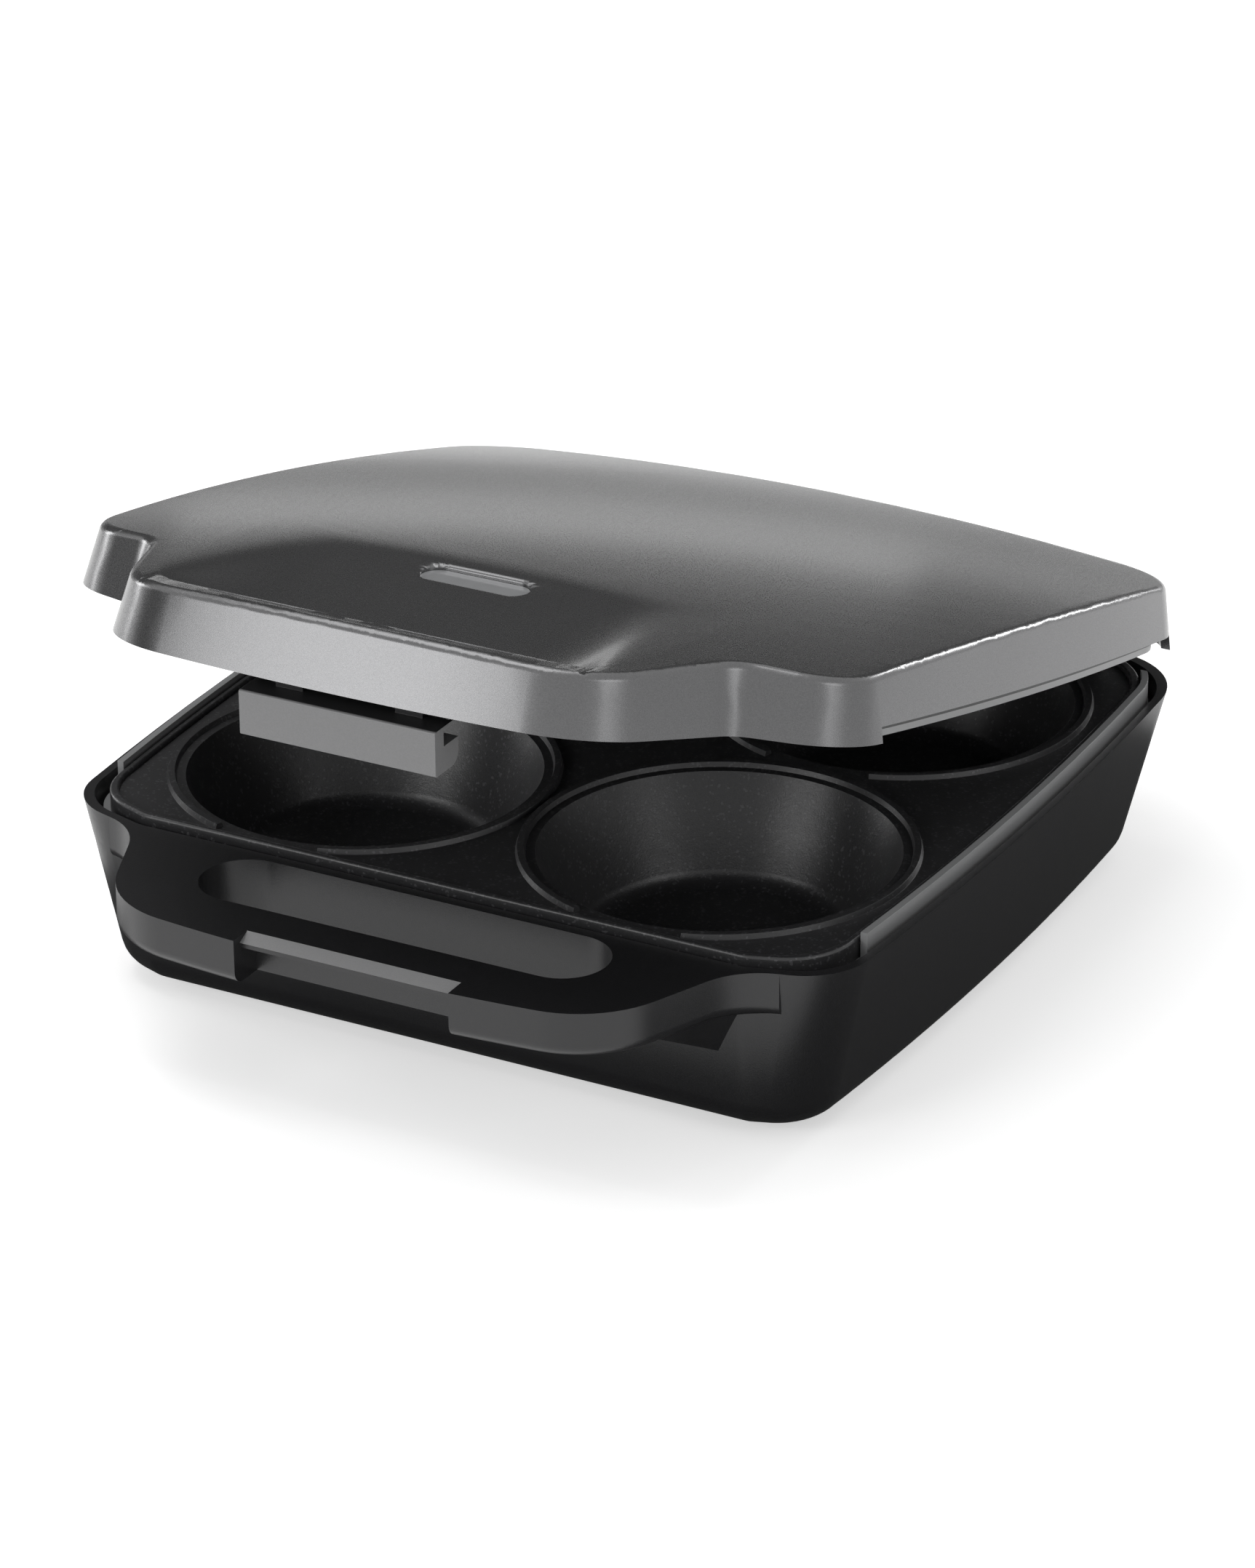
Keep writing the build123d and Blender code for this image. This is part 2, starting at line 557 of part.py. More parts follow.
def base_shell():
    shell = hull(0.0, HULL_Z, HULL_EDGE_R) + handle_block() + handle_web()
    cavity = hull(WALL, FLOOR_Z, HULL_EDGE_R - WALL)
    cavity += slab(housing_plan(BASE, handle=False, inset=(WALL, WALL, WALL)), DECK_Z, DECK_Z + 5)
    shell -= cavity
    shell -= Pos(0, SLOT_Y, 0) * slab(stadium(SLOT_HALF, SLOT_R), HULL_Z, DECK_Z + 5)
    shell -= catch_cut()
    shell -= handle_pocket()
    for x, y in CORNERS:
        shell += rod(x, y, HULL_Z + 0.5, FRAME_Z, POST_R)
        shell -= rod(x, y, HULL_Z - 1, FRAME_Z - SEAT_DEPTH, HEAD_R + 0.4)
        shell -= rod(x, y, HULL_Z, FRAME_Z + 1, SCREW_R + FIT)
    for x, y in FEET:
        shell -= rod(x, y, HULL_Z - 1, HULL_Z + FOOT_SUNK, FOOT_R)
    for s in (-1, 1):
        for side in (-1, 1):
            x0 = s * HINGE_X + side * (KNUCKLE_W / 2 + SIDE_PLAY + LUG_W / 2) - LUG_W / 2
            shell += hinge_lug(x0, x0 + LUG_W) - cavity
            shell -= cross_rod(x0 - 1, x0 + LUG_W + 1, HINGE_Y, HINGE_Z, PIN_R)
    wall_y = gland_wall_y()
    shell += along_y(GLAND_X, GLAND_Z, wall_y - 10, wall_y + GLAND_OUT, GLAND_R + WALL) - cavity
    shell -= along_y(GLAND_X, GLAND_Z, wall_y - 20, wall_y + GLAND_OUT + 1, GLAND_R)
    return shell


def ring_plan(sizes, inward):
    """Flat ring that carries a plate, with an ear round each corner screw."""
    face = housing_plan(sizes, handle=False, inset=(inward, inward, inward))
    face -= RectangleRounded(FRAME_HOLE, FRAME_HOLE, FRAME_HOLE_R)
    for x, y in CORNERS:
        face += Pos(x, y) * Circle(POST_R)
    return face


def lips(z0, z1, front):
    """Strip along each side, on the housing's own curve."""
    outer = housing_plan(BASE, handle=False, inset=(LIP_IN, LIP_IN, LIP_IN))
    inner = plate_plan(-LIP_GAP)
    reach = BODY_HX + 5
    sides = box(W2, reach, front, LIP_REAR, z0, z1) + box(-reach, -W2, front, LIP_REAR, z0, z1)
    return slab(outer - inner, z0, z1) & sides


def base_frame():
    taper = HULL_IN_SIDE * (DECK_Z - FRAME_Z) / (DECK_Z - HULL_Z)
    ring = slab(ring_plan(BASE, WALL + taper + FIT), FRAME_Z, FRAME_TOP)
    ring += lips(FRAME_TOP - 0.3, LIP_Z, LIP_FRONT)
    for x, y in CORNERS:
        ring -= rod(x, y, FRAME_Z - 1, FRAME_TOP + 1, SCREW_R + FIT)
    return ring


# ---------------------------------------------------------------- lid
def dome(inward):
    """All space below the lid's double-curved top, or below a surface that much inside it."""
    half, top = 220.0, APEX_Z - inward
    drop = (DOME_RX - inward) - math.sqrt((DOME_RX - inward) ** 2 - half ** 2)
    section = make_face(Curve() + [
        ThreePointArc((-half, DOME_Y, top - drop), (0, DOME_Y, top), (half, DOME_Y, top - drop)),
        Line((half, DOME_Y, top - drop), (half, DOME_Y, 0)), Line((half, DOME_Y, 0), (-half, DOME_Y, 0)),
        Line((-half, DOME_Y, 0), (-half, DOME_Y, top - drop))])
    turn = Axis((0, DOME_Y, APEX_Z - DOME_RY), (1, 0, 0))
    return revolve(section.rotate(turn, -DOME_SPAN / 2), turn, DOME_SPAN)


def dome_z(y):
    return APEX_Z - (y - DOME_Y) ** 2 / (2 * DOME_RY)


def lid_prism(plan):
    return extrude(Pos(0, 0, LID_Z) * plan, LID_H + 4, taper=LID_TAPER)


def grip_floor(y):
    """Height of the recess's floor on its centre line."""
    return dome_z(GRIP_REAR_Y) - GRIP_STEP + GRIP_SLOPE * (y - GRIP_REAR_Y)


def grip_cutter(grow):
    """Finger recess: the floor falls towards the front, curls up at both ends and stops at a steep wall."""
    half, rear, front = GRIP_HX + grow, GRIP_REAR_Y + grow, LID["tip_y"] + GRIP_TIP - grow
    shoulder = front + GRIP_BOW
    outline = make_face(Curve() + [Line((half, shoulder), (half, rear)), Line((half, rear), (-half, rear)),
                                   Line((-half, rear), (-half, shoulder)),
                                   ThreePointArc((-half, shoulder), (0, front), (half, shoulder))])
    outline = fillet(outline.vertices(), GRIP_R)
    rise = GRIP_RAMP_R - math.sqrt(GRIP_RAMP_R ** 2 - (half - GRIP_FLAT) ** 2)
    mid_x = (GRIP_FLAT + half) / 2
    mid_rise = GRIP_RAMP_R - math.sqrt(GRIP_RAMP_R ** 2 - (mid_x - GRIP_FLAT) ** 2)
    y0, top = rear + 10, APEX_Z + 40
    z0 = grip_floor(y0) - grow
    section = make_face(Curve() + [
        Line((-GRIP_FLAT, y0, z0), (GRIP_FLAT, y0, z0)),
        ThreePointArc((GRIP_FLAT, y0, z0), (mid_x, y0, z0 + mid_rise), (half, y0, z0 + rise)),
        Line((half, y0, z0 + rise), (half, y0, top)), Line((half, y0, top), (-half, y0, top)),
        Line((-half, y0, top), (-half, y0, z0 + rise)),
        ThreePointArc((-half, y0, z0 + rise), (-mid_x, y0, z0 + mid_rise), (-GRIP_FLAT, y0, z0))])
    slope = Vector(0, -1, -GRIP_SLOPE)
    cut = extrude(section, (rear - front + 30) * slope.length, dir=slope)
    cut &= slab(outline, LID_Z - 10, APEX_Z + 20)
    cut &= above((0, GRIP_REAR_Y, dome_z(GRIP_REAR_Y) - grow * 0.4), (0, -1, 1))
    cut &= above((0, front, dome_z(front) - grow * 0.4), (0, GRIP_WALL_SLOPE, 1))
    return cut


def window_plane():
    y = GRIP_REAR_Y - WIN_IN
    return Plane(origin=(0, y, grip_floor(y)), x_dir=(1, 0, 0), z_dir=(0, -GRIP_SLOPE, 1))


def lid_arm(x0, x1):
    """Hinge knuckle of the lid, on an arm from its rear wall."""
    root = LID["y_rear"] - 4.5
    arm = side_profile([(root, LID_Z + 4), (HINGE_Y - 2, HINGE_Z - LUG_R + 2.5),
                        (HINGE_Y + 2, HINGE_Z + LUG_R - 0.5), (root, LID_Z + 18)], x0, x1)
    return arm + cross_rod(x0, x1, HINGE_Y, HINGE_Z, LUG_R)


def tip_post_z():
    """Level at which the front screw posts of the cover meet the bosses of the panel."""
    return PANEL_Z + HEAD_H + 3.2


def lid_cover():
    plan = housing_plan(LID)
    outer = lid_prism(plan) & dome(0.0)
    outer = fillet([e for e in outer.edges() if e.bounding_box().min.Z > LID_Z + 8], LID_EDGE_R)
    inner = lid_prism(housing_plan(thinner(LID, LID_WALL))) & dome(LID_WALL)
    inner -= grip_cutter(LID_WALL)
    cover = outer - inner
    cover -= grip_cutter(0.0)
    for s in (-1, 1):
        near, far = sorted((s * 100, s * 160))
        cover -= box(near, far, LID_LIP_FRONT, LIP_REAR, LID_Z - 1, LID_Z + SIDE_CUT)
    cover -= extrude(window_plane() * stadium(WIN_HALF, WIN_R), 8, both=True)
    solid = outer - grip_cutter(1.0)
    for x, y in TIP_SCREWS:
        cover += rod(x, y, tip_post_z(), APEX_Z, POST_R) & solid
        cover -= rod(x, y, tip_post_z() - 1, tip_post_z() + 5, SCREW_R + SEAT)
    ring_rear = hook_y()
    for x in (-HOOK_X, HOOK_X):
        rib = box(x - 1.5, x + 1.5, ring_rear - 8, ring_rear + 10, UP_FRAME_TOP + FIT, UP_FRAME_TOP + 13)
        prong = box(x - 5, x + 5, ring_rear - 1.4, ring_rear, UP_FRAME_Z - 1.3, UP_FRAME_TOP + 10)
        toe = box(x - 7.5, x + 7.5, ring_rear - 1.4, ring_rear, UP_FRAME_Z - 1.3, UP_FRAME_Z - SEAT)
        cover += (rib + prong + toe) & outer
    for s in (-1, 1):
        x0, x1 = s * HINGE_X - KNUCKLE_W / 2, s * HINGE_X + KNUCKLE_W / 2
        cover += lid_arm(x0, x1) - inner
        cover -= cross_rod(x0 - 1, x1 + 1, HINGE_Y, HINGE_Z, PIN_R + RUN)
    return cover


def ring_inset():
    """Lid ring's outer edge, inside the tapered wall of the cover."""
    return LID_WALL + (UP_FRAME_TOP - LID_Z) * math.tan(math.radians(LID_TAPER)) + FIT


def hook_y():
    """Rear edge of that ring where the hooks pass it, on the bow of the rear wall."""
    return LID["y_rear"] - ring_inset() + BOW * (1 - (HOOK_X / LID["hx_end"]) ** 2)


def lid_frame():
    ring = slab(ring_plan(LID, ring_inset()), UP_FRAME_Z, UP_FRAME_TOP)
    ring += lips(LID_Z + FIT, UP_FRAME_Z + 1, LID_LIP_FRONT)
    for x, y in CORNERS:
        ring -= rod(x, y, UP_FRAME_Z - 1, UP_FRAME_TOP + 1, SCREW_R + FIT)
    ring_rear = hook_y()
    for x in (-HOOK_X, HOOK_X):
        ring -= box(x - 5 - FIT, x + 5 + FIT, ring_rear - 1.4 - FIT, ring_rear + 5, UP_FRAME_Z - 1, UP_FRAME_TOP + 1)
    # underside panel of the handle, joined to the ring by a step wall
    step_y = BASE["c2"][1] + PLATE_FRONT - 1
    edge = LID_WALL + (PANEL_UP + PANEL_T) * math.tan(math.radians(LID_TAPER)) + FIT
    panel = slab(housing_plan(thinner(LID, edge)), PANEL_Z, PANEL_Z + PANEL_T)
    panel &= box(-BODY_HX, BODY_HX, LID["tip_y"], step_y, 0, APEX_Z)
    ring += panel + box(LID_ROOT_IN - BASE["c2"][0], BASE["c2"][0] - LID_ROOT_IN, step_y - 2, step_y, PANEL_Z, UP_FRAME_TOP)
    for x, y in TIP_SCREWS:
        ring += rod(x, y, PANEL_Z, tip_post_z(), HEAD_R + 2.5)
        ring -= rod(x, y, PANEL_Z - 1, PANEL_Z + HEAD_H + 0.4, HEAD_R + 0.4)
        ring -= rod(x, y, PANEL_Z, tip_post_z() + 1, SCREW_R + FIT)
    # lugs that carry the latch pin
    inner, outer = KNUCKLE_X - KNUCKLE_HALF - 0.8, KNUCKLE_X + KNUCKLE_HALF + 0.8
    for x0, x1 in ((0.6 - LATCH_HX, -outer), (-inner, inner), (outer, LATCH_HX - 0.6)):
        ring += cross_rod(x0, x1, PIVOT_Y, PIVOT_Z, BARREL_R)
        ring += box(x0, x1, PIVOT_Y - BARREL_R, PIVOT_Y + BARREL_R, PIVOT_Z, PANEL_Z + PANEL_T / 2)
        ring -= cross_rod(x0 - 1, x1 + 1, PIVOT_Y, PIVOT_Z, PIVOT_R)
    for x in (-KNUCKLE_X, KNUCKLE_X):
        clear = BARREL_R + 0.5
        ring -= box(x - KNUCKLE_HALF - 0.8, x + KNUCKLE_HALF + 0.8, PIVOT_Y - clear, PIVOT_Y + clear,
                    PANEL_Z - 1, PIVOT_Z + clear)
    return ring


def latch():
    """Bar with a hook that catches the lower handle's ledge, and two knuckles on the pin."""
    throat = KEEPER_TOP + THROAT_OVER
    bar = side_profile([(LATCH_Y, LATCH_LOW), (LATCH_Y, LATCH_TOP), (HOOK_TIP_Y - 0.4, LATCH_TOP),
                        (HOOK_TIP_Y - 0.4, throat), (LATCH_Y + LATCH_T, throat), (LATCH_Y + LATCH_T, HOOK_TOP),
                        (HOOK_TIP_Y, HOOK_TOP), (HOOK_TIP_Y, LATCH_LOW)], -LATCH_HX, LATCH_HX)
    long_edges = bar.edges().filter_by(Axis.X)
    bar = fillet([e for e in long_edges if abs(e.center().Z - LATCH_LOW) < 0.01
                  and e.center().Y > LATCH_Y + 1], HOOK_R)
    bar = fillet([e for e in bar.edges().filter_by(Axis.X) if abs(e.center().Y - LATCH_Y) < 0.01], 0.8)
    for x in (-KNUCKLE_X, KNUCKLE_X):
        x0, x1 = x - KNUCKLE_HALF, x + KNUCKLE_HALF
        bar += cross_rod(x0, x1, PIVOT_Y, PIVOT_Z, BARREL_R)
        bar += box(x0, x1, PIVOT_Y - BARREL_R, PIVOT_Y + BARREL_R, LATCH_TOP - 0.5, PIVOT_Z)
        bar -= cross_rod(x0 - 1, x1 + 1, PIVOT_Y, PIVOT_Z, PIVOT_R + RUN)
    return bar


def indicator_lens():
    win = window_plane()
    edge = WIN_R - 0.15
    return extrude(win * Pos(0, 0, -LENS_SUNK - LENS_T) * stadium(WIN_HALF - 0.15, edge), LENS_T)


def lamp_holder():
    """Tub behind the lens; its rim sits against the underside of the recess."""
    win = window_plane()
    wide = WIN_R + TUB_MARGIN
    tub = extrude(win * Pos(0, 0, -LID_WALL - TUB_D) * stadium(WIN_HALF + TUB_MARGIN + TUB_T, wide + TUB_T), TUB_D)
    tub -= extrude(win * Pos(0, 0, -LID_WALL - TUB_D + TUB_T) * stadium(WIN_HALF + TUB_MARGIN, wide), TUB_D)
    shelf_low = -LENS_SUNK - LENS_T - 1.2
    shelf = extrude(win * Pos(0, 0, shelf_low) * (stadium(WIN_HALF + TUB_MARGIN + 0.5, wide + 0.5)
                                                 - stadium(WIN_HALF - 2, WIN_R - 2)), 1.2)
    return tub + shelf


def lamp(x):
    """Small indicator bulb standing on the holder's floor."""
    base = window_plane() * Pos(x, 0, -LID_WALL - TUB_D + TUB_T)
    return base * (Pos(0, 0, 2.5) * Cylinder(LAMP_R, 5) + Pos(0, 0, 5) * Sphere(LAMP_R))


# ---------------------------------------------------------------- small parts
def foot(x, y):
    pad = rod(x, y, 0, HULL_Z + FOOT_SUNK, FOOT_R - SEAT)
    return fillet([e for e in pad.edges() if e.center().Z < 0.01], 0.8)


def cord_gland():
    """Bushing in the cord inlet of the rear wall."""
    face_y = gland_wall_y() + GLAND_OUT
    bush = along_y(GLAND_X, GLAND_Z, face_y - 12, face_y, GLAND_R - SEAT)
    bush += along_y(GLAND_X, GLAND_Z, face_y, face_y + 2, GLAND_R + WALL / 2)
    return bush - along_y(GLAND_X, GLAND_Z, face_y - 20, face_y + 5, GLAND_BORE_R)


def terminal_block():
    """Three-way terminal block on the housing's floor."""
    y = BODY_REAR - BLOCK_IN
    block = box(BLOCK_X - 16, BLOCK_X + 16, y - 6, y + 6, FLOOR_Z, FLOOR_Z + 9)
    for x in (BLOCK_X - 10, BLOCK_X, BLOCK_X + 10):
        block -= rod(x, y, FLOOR_Z + 3, FLOOR_Z + 10, 2.4)
    return block


# ---------------------------------------------------------------- assembly
def base_pieces():
    nodes = {"base_shell": base_shell(), "base_frame": base_frame(), "lower_plate": lower_plate(),
             "lower_heater": heater(LOWER_TUBE_Z, -1), "lower_shield": shield(SHIELD_Z, SHIELD_HALF, SHIELD_LIP, 1),
             "lower_shield_screw": screw(0, 0, SHIELD_Z, SCREW_L), "thermostat": thermostat(),
             "thermal_fuse": thermal_fuse(), "terminal_block": terminal_block(), "cord_gland": cord_gland()}
    for i, (x, y) in enumerate(FEET, 1):
        nodes["foot_%d" % i] = foot(x, y)
    for i, (x, y) in enumerate(CORNERS, 1):
        nodes["base_screw_%d" % i] = screw(x, y, FRAME_Z - SEAT_DEPTH, SCREW_L)
    reach = KNUCKLE_W / 2 + SIDE_PLAY + LUG_W
    for name, x in (("hinge_pin_left", -HINGE_X), ("hinge_pin_right", HINGE_X)):
        nodes[name] = cross_rod(x - reach, x + reach, HINGE_Y, HINGE_Z, PIN_R)
    return nodes


def lid_pieces():
    nodes = {"lid_cover": lid_cover(), "lid_frame": lid_frame(), "upper_plate": upper_plate(),
             "upper_heater": heater(UPPER_TUBE_Z, 1),
             "upper_shield": shield(UP_SHIELD_Z, UP_SHIELD_HALF, UP_SHIELD_LIP, -1),
             "upper_shield_screw": screw(0, 0, UP_SHIELD_Z + SHIELD_T, SCREW_L - 2, up=False),
             "indicator_lens": indicator_lens(), "lamp_holder": lamp_holder(),
             "lamp_left": lamp(-LAMP_X), "lamp_right": lamp(LAMP_X),
             "latch_pin": cross_rod(0.6 - LATCH_HX, LATCH_HX - 0.6, PIVOT_Y, PIVOT_Z, PIVOT_R)}
    for i, (x, y) in enumerate(CORNERS, 1):
        nodes["plate_screw_%d" % i] = screw(x, y, UP_FRAME_TOP, LID_FRAME_T + 3.5, up=False)
    for i, (x, y) in enumerate(TIP_SCREWS, 1):
        nodes["cover_screw_%d" % i] = screw(x, y, PANEL_Z + HEAD_H + 0.4, 7)
    return nodes


def main():
    open_axis = Axis((0, HINGE_Y, HINGE_Z), (-1, 0, 0))
    latch_axis = Axis((0, PIVOT_Y, PIVOT_Z), (1, 0, 0))
    nodes = base_pieces()
    for name, piece in lid_pieces().items():
        nodes[name] = piece.rotate(open_axis, OPEN_DEG)
    # the latch hangs upright from its pin while the lid stands open
    nodes["latch"] = latch().rotate(latch_axis, OPEN_DEG).rotate(open_axis, OPEN_DEG)
    lid_front = HINGE_Y - (HINGE_Y - LID["tip_y"]) * math.cos(math.radians(OPEN_DEG))
    shift = -(HINGE_Y + LUG_R + min(TIP_Y, lid_front)) / 2
    for name, piece in nodes.items():
        moved = Pos(0, shift, 0) * piece
        solids = moved.solids()
        print("%-20s solids %d  valid %s" % (name, len(solids), moved.is_valid))
        export_step(solids[0] if len(solids) == 1 else moved, "parts/%s.step" % name)
    print("moved back by %.3f mm" % shift)


if __name__ == "__main__":
    main()
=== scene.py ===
import math

import bmesh
import bpy
from mathutils import Matrix, Vector


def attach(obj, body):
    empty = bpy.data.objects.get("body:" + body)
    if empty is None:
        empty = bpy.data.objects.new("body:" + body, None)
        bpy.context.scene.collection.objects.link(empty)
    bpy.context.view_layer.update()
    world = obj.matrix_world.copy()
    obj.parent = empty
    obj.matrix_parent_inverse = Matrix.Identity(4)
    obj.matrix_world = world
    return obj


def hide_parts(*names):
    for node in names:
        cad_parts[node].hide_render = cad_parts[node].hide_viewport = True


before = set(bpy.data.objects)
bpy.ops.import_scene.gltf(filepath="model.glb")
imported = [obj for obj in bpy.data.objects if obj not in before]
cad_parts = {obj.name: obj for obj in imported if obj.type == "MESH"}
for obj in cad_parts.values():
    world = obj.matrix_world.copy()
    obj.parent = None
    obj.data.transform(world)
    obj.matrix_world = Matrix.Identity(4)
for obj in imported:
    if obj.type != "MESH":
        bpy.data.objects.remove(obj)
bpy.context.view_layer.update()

# ---------------------------------------------------------------- camera
# The photograph looks down on the front from the right of the middle, with a long lens, so the
# camera's axes are written out from that view.
camera = bpy.data.objects.new("camera", bpy.data.cameras.new("camera"))
camera.data.sensor_width, camera.data.lens = 36.0, 137.49
camera.data.clip_start, camera.data.clip_end = 0.1, 50.0
CAMERA_PLACE = (0.8218, -1.4976, 0.8513)
right, up = Vector((0.879679, 0.475514, -0.007337)), Vector((-0.196273, 0.377062, 0.905157))
axes = Matrix((right, up, right.cross(up))).transposed()
camera.matrix_world = Matrix.Translation(CAMERA_PLACE) @ axes.to_4x4()
bpy.context.scene.collection.objects.link(camera)
bpy.context.scene.camera = camera
bpy.context.scene.view_settings.view_transform = "Standard"


# ---------------------------------------------------------------- studio
# A white table under soft lamps. To the camera and in reflections the table and the world are plain
# white, while the lamps stay low. Boards that only reflections see keep the polished tops dark.
class Socket:
    """an output of a node, so that shader maths reads as arithmetic"""

    def __init__(self, tree, socket):
        self.tree, self.socket = tree, socket

    def math(self, operation, *others, clamp=False):
        made = self.tree.nodes.new("ShaderNodeMath")
        made.operation, made.use_clamp = operation, clamp
        for slot, value in zip(made.inputs, (self,) + others):
            if isinstance(value, Socket):
                self.tree.links.new(value.socket, slot)
            else:
                slot.default_value = value
        return Socket(self.tree, made.outputs[0])

    def __add__(self, other):
        return self.math("ADD", other)

    def __mul__(self, other):
        return self.math("MULTIPLY", other)

    def __sub__(self, other):
        return self.math("SUBTRACT", other)

    def __rsub__(self, other):
        return self * -1.0 + other

    def __truediv__(self, other):
        return self.math("DIVIDE", other)

    __radd__, __rmul__ = __add__, __mul__

    def clipped(self):
        return self.math("ADD", 0.0, clamp=True)


class Finish:
    """a node material with its shader; place is the point on the piece that its patterns follow"""

    def __init__(self, name, **plain):
        self.material = bpy.data.materials.new(name)
        self.material.use_nodes = True
        self.tree = self.material.node_tree
        self.shader = self.tree.nodes["Principled BSDF"]
        for socket, value in plain.items():
            self.shader.inputs[socket.replace("_", " ")].default_value = value
        self.place = self.node("ShaderNodeTexCoord", out="Object")

    def node(self, kind, values=None, out=0, stops=None, **settings):
        made = self.tree.nodes.new(kind)
        for key, value in settings.items():
            setattr(made, key, value)
        if stops:
            ramp = made.color_ramp.elements
            for at, stop in enumerate(stops):
                element = ramp[at] if at < 2 else ramp.new(stop[0])
                element.position, element.color = stop[0], (*stop[1], 1.0)
        for key, value in (values or {}).items():
            if isinstance(value, Socket):
                self.tree.links.new(value.socket, made.inputs[key])
            else:
                made.inputs[key].default_value = value
        return Socket(self.tree, made.outputs[out])

    def noise(self, scale, detail=2.0, roughness=0.5, place=None):
        values = {"Vector": place or self.place, "Scale": scale, "Detail": detail, "Roughness": roughness}
        return self.node("ShaderNodeTexNoise", values)

    def cells(self, scale, out="Color", place=None):
        values = {"Vector": place or self.place, "Scale": scale}
        return self.node("ShaderNodeTexVoronoi", values, out=out)

    def grey(self, colour):
        return self.node("ShaderNodeSeparateColor", {"Color": colour})

    def stretched(self, x, y, z):
        return self.node("ShaderNodeMapping", {"Vector": self.place, "Scale": (x, y, z)})

    def mix(self, factor, low, high):
        made = self.tree.nodes.new("ShaderNodeMix")
        made.data_type = "RGBA"
        for slot, value in ((0, factor), (6, low), (7, high)):
            if isinstance(value, Socket):
                self.tree.links.new(value.socket, made.inputs[slot])
            else:
                made.inputs[slot].default_value = (*value, 1.0) if slot else value
        return Socket(self.tree, made.outputs[2])

    def bump(self, height, strength, distance, normal=None):
        values = {"Height": height, "Strength": strength, "Distance": distance}
        if normal:
            values["Normal"] = normal
        return self.node("ShaderNodeBump", values)

    def feed(self, **sockets):
        for name, value in sockets.items():
            self.tree.links.new(value.socket, self.shader.inputs[name.replace("_", " ")])
        return self.material


def shown_white(tree, lit, kind, strength, join="ShaderNodeMixShader"):
    """the lit surface for the light's own sake, and white where the camera or a reflection sees it"""
    path = tree.nodes.new("ShaderNodeLightPath")
    rays = [Socket(tree, path.outputs["Is %s Ray" % way]) for way in ("Camera", "Glossy", "Transmission")]
    seen = rays[0].math("MAXIMUM", rays[1]).math("MAXIMUM", rays[2])
    white = tree.nodes.new(kind)
    white.inputs["Color"].default_value = (1, 1, 1, 1)
    joined = tree.nodes.new(join)
    if join == "ShaderNodeMixShader":
        white.inputs["Strength"].default_value = strength
        tree.links.new(seen.socket, joined.inputs[0])
    else:
        tree.links.new((seen * strength).socket, white.inputs["Strength"])
    tree.links.new(lit.outputs[0], joined.inputs[-2])
    tree.links.new(white.outputs[0], joined.inputs[-1])
    return joined


AMBIENT_LIGHT, WORLD_WHITE, TABLE_GLOW = 0.4, 0.95, 0.50
world = bpy.data.worlds.new("studio")
bpy.context.scene.world = world
world.use_nodes = True
ambient = world.node_tree.nodes["Background"]
ambient.inputs["Color"].default_value = (1, 1, 1, 1)
ambient.inputs["Strength"].default_value = AMBIENT_LIGHT
seen_world = shown_white(world.node_tree, ambient, "ShaderNodeBackground", WORLD_WHITE)
world.node_tree.links.new(seen_world.outputs[0], world.node_tree.nodes["World Output"].inputs[0])


def board(name, width, height, place, turn, material):
    """flat rectangle of the set, turned about the upright axis and then tipped"""
    bm = bmesh.new()
    bmesh.ops.create_grid(bm, x_segments=1, y_segments=1, size=0.5)
    about = Matrix.Rotation(math.radians(turn[0]), 4, "Z")
    tipped = Matrix.Rotation(math.radians(turn[1]), 4, "X")
    bm.transform(Matrix.Translation(place) @ about @ tipped @ Matrix.Diagonal((width, height, 1, 1)))
    mesh = bpy.data.meshes.new(name)
    bm.to_mesh(mesh)
    bm.free()
    mesh.materials.append(material)
    made = bpy.data.objects.new(name, mesh)
    bpy.context.scene.collection.objects.link(made)
    return made


table = Finish("table_white", Roughness=0.9, Base_Color=(0.9, 0.9, 0.9, 1.0))
output = table.tree.nodes["Material Output"]
seen_table = shown_white(table.tree, table.shader, "ShaderNodeEmission", TABLE_GLOW, "ShaderNodeAddShader")
table.tree.links.new(seen_table.outputs[0], output.inputs["Surface"])
board("floor", 12.0, 12.0, (0, 0, 0), (0, 0), table.material)

felt = Finish("board_dark", Roughness=0.9, Base_Color=(0.02, 0.02, 0.02, 1.0),
              Emission_Color=(0.045, 0.045, 0.045, 1), Emission_Strength=1.0).material
bounce = Finish("board_white", Base_Color=(0.8, 0.8, 0.8, 1.0),
                Emission_Color=(1, 1, 1, 1), Emission_Strength=0.75).material
for name, width, height, place, turn, face in (
        ("board_back", 3.4, 1.5, (-1.05, 1.35, 0.87), (26, 90), felt),
        ("board_low", 2.6, 0.9, (-0.75, 0.95, 0.004), (26, 0), felt),
        ("board_left", 1.0, 1.0, (-1.38, -0.80, 0.45), (-60, 90), felt),
        ("board_under", 0.42, 0.35, (0.03, 0.03, 0.0005), (0, 0), felt),
        ("board_front", 1.0, 0.44, (-0.15, -0.37, 0.0005), (0, 0), bounce)):
    made = board(name, width, height, place, turn, face)
    made.visible_camera = made.visible_diffuse = False
    made.visible_shadow = made.visible_transmission = False


def lamp(name, wide, tall, place, aim, watts):
    """soft lamp of that width and height, turned to its aim"""
    light = bpy.data.lights.new(name, "AREA")
    light.shape, light.size, light.size_y = "RECTANGLE", wide, tall
    light.energy = watts
    made = bpy.data.objects.new(name, light)
    made.location = place
    made.rotation_euler = (Vector(aim) - Vector(place)).to_track_quat("-Z", "Y").to_euler()
    bpy.context.scene.collection.objects.link(made)


